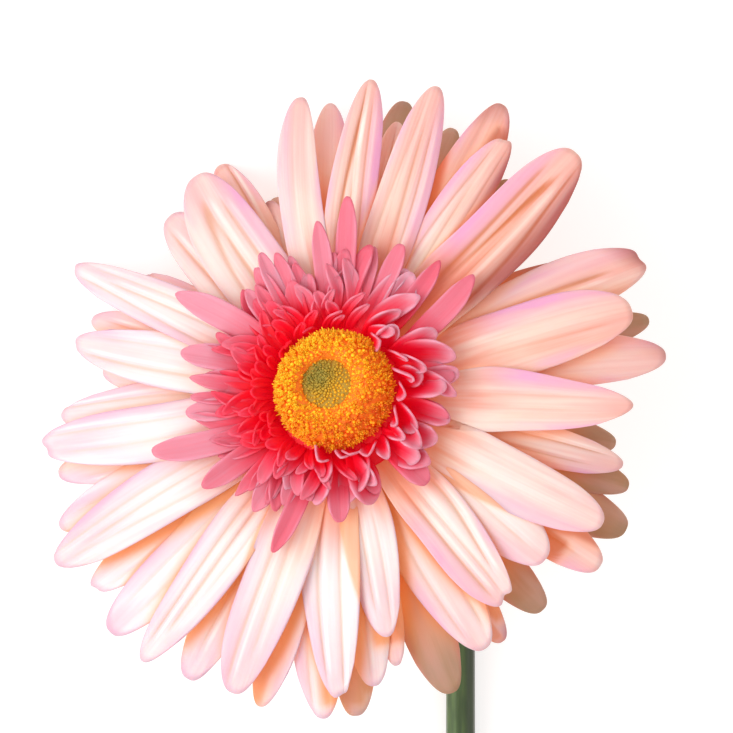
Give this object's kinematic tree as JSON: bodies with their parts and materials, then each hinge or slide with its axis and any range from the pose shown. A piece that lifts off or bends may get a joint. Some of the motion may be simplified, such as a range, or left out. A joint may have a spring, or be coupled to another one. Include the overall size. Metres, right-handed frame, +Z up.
{
  "type": "cut gerbera",
  "caption": "Cut gerbera bloom on its stem, lying face up: pale pink rays, rose inner florets, yellow disc.",
  "frame": {"origin": "on the table surface, midway along and across the lying flower", "axes": "+Z up from the table, +Y along the stem from its cut end towards the bloom, +X to the right of the face as seen from above"},
  "size_m": [0.1098, 0.3552, 0.0571],
  "materials": {
    "stem_green": "smooth green stem with fine lengthwise ribs and short hairs",
    "bract_green": "matt green scales with paler edges",
    "ray_petal": "satin petal, cream to peach with lilac-pink edges and fine lengthwise ribs",
    "inner_petal": "satin rose petal, crimson at the root and paler at the tip",
    "disc_yellow": "granular golden yellow and orange florets",
    "bud_green": "matt khaki green unopened buds"
  },
  "bodies": {
    "root": {"stem": "stem_green", "involucre": "bract_green", "ray_florets": "ray_petal", "inner_florets": "inner_petal", "disc_florets": "disc_yellow", "disc_centre": "bud_green"}
  },
  "joints": []
}
